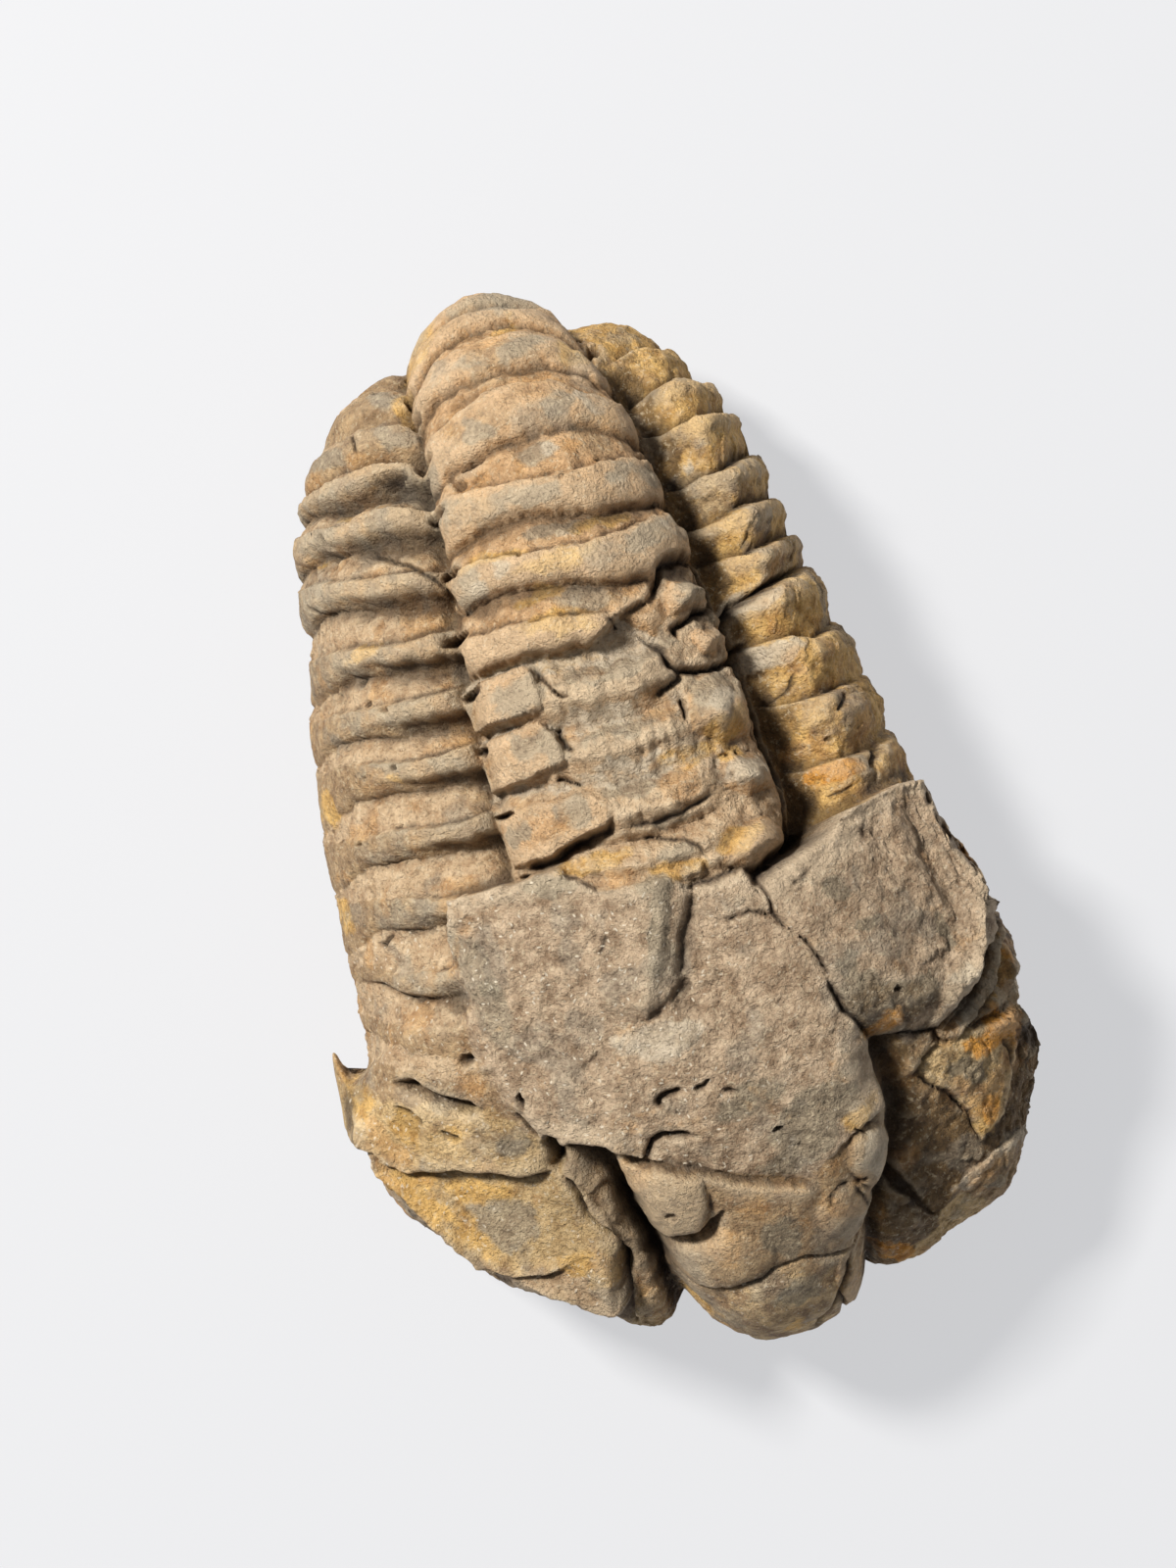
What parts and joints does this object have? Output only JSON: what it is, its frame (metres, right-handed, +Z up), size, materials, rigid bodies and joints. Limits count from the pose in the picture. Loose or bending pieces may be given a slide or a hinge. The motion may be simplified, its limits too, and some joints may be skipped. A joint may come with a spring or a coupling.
{
  "type": "trilobite fossil",
  "caption": "Fossil trilobite in one weathered mudstone piece, belly down, with ringed axis, ribbed flanks, worn shoulder patch and cracked head.",
  "frame": {"origin": "middle of the bounding box, on the flat resting face", "axes": "+Y from the head to the tail, +X to the fossil's right-hand side as seen in its picture from above with the tail up, +Z up out of its back"},
  "size_m": [0.0472, 0.0746, 0.0281],
  "materials": {
    "mudstone": "weathered, matte, ochre stained"
  },
  "bodies": {
    "root": {"trilobite_fossil": "mudstone"}
  },
  "joints": []
}
